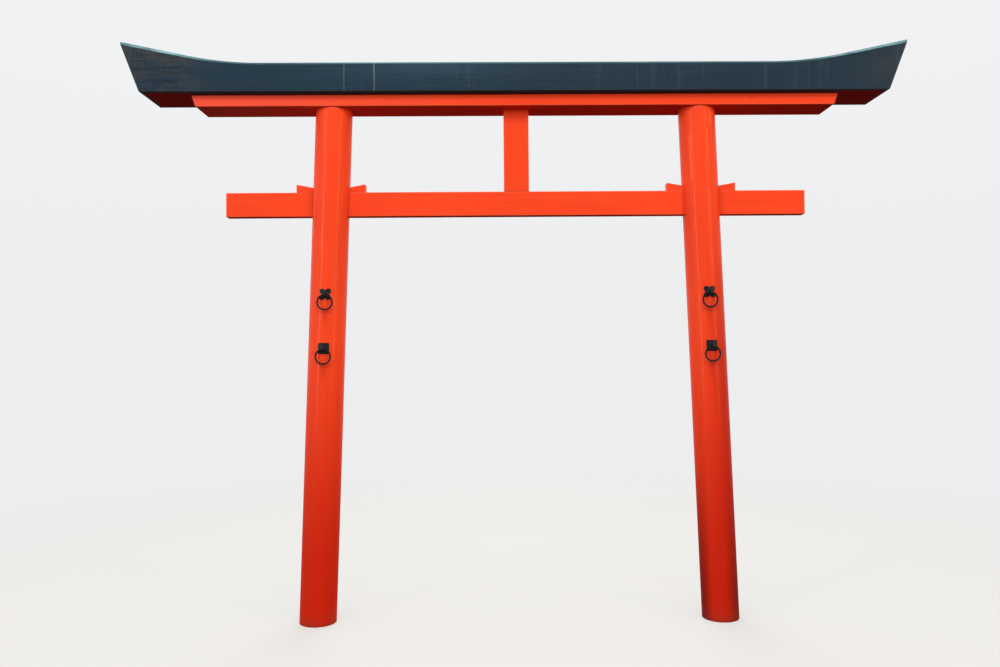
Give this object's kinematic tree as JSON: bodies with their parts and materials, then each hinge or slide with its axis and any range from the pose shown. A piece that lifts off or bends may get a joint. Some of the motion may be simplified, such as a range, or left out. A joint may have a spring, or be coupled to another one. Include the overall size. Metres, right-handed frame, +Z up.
{
  "type": "torii gate",
  "caption": "Timber torii gate with leaning round pillars, a wedged tie beam, a short strut, a flat lower lintel, a swept upper lintel and hinged iron rings.",
  "frame": {"origin": "centre of the left pillar's foot, at ground level", "axes": "+X from the left pillar to the right one, seen from the front; +Y to the back; +Z up"},
  "size_m": [3.87, 0.275, 2.8754],
  "materials": {
    "vermilion_timber": "gloss vermilion paint over planed timber",
    "black_timber": "satin blue-black paint over planed timber, weathered at the end",
    "black_iron": "black painted iron"
  },
  "bodies": {
    "gate": {"left_pillar": "vermilion_timber", "right_pillar": "vermilion_timber", "tie_beam": "vermilion_timber", "left_outer_wedge": "vermilion_timber", "left_inner_wedge": "vermilion_timber", "right_inner_wedge": "vermilion_timber", "right_outer_wedge": "vermilion_timber", "centre_strut": "vermilion_timber", "lower_lintel": "vermilion_timber", "upper_lintel": "black_timber", "left_upper_plate": "black_iron", "left_upper_eye": "black_iron", "left_lower_plate": "black_iron", "left_lower_eye": "black_iron", "right_upper_plate": "black_iron", "right_upper_eye": "black_iron", "right_lower_plate": "black_iron", "right_lower_eye": "black_iron"},
    "left_upper_ring": {"left_upper_ring": "black_iron"},
    "left_lower_ring": {"left_lower_ring": "black_iron"},
    "right_upper_ring": {"right_upper_ring": "black_iron"},
    "right_lower_ring": {"right_lower_ring": "black_iron"}
  },
  "joints": [
    {"name": "left_upper_ring_hinge", "type": "hinge", "parent": "gate", "child": "left_upper_ring", "pos_m": [0.05777, -0.1068, 1.614], "axis": [-1, 0, 0], "range_deg": [-2, 150]},
    {"name": "left_lower_ring_hinge", "type": "hinge", "parent": "gate", "child": "left_lower_ring", "pos_m": [0.04829, -0.1068, 1.349], "axis": [-1, 0, 0], "range_deg": [-2, 150]},
    {"name": "right_upper_ring_hinge", "type": "hinge", "parent": "gate", "child": "right_upper_ring", "pos_m": [1.94223, -0.1068, 1.614], "axis": [-1, 0, 0], "range_deg": [-2, 150]},
    {"name": "right_lower_ring_hinge", "type": "hinge", "parent": "gate", "child": "right_lower_ring", "pos_m": [1.95171, -0.1068, 1.349], "axis": [-1, 0, 0], "range_deg": [-2, 150]}
  ]
}
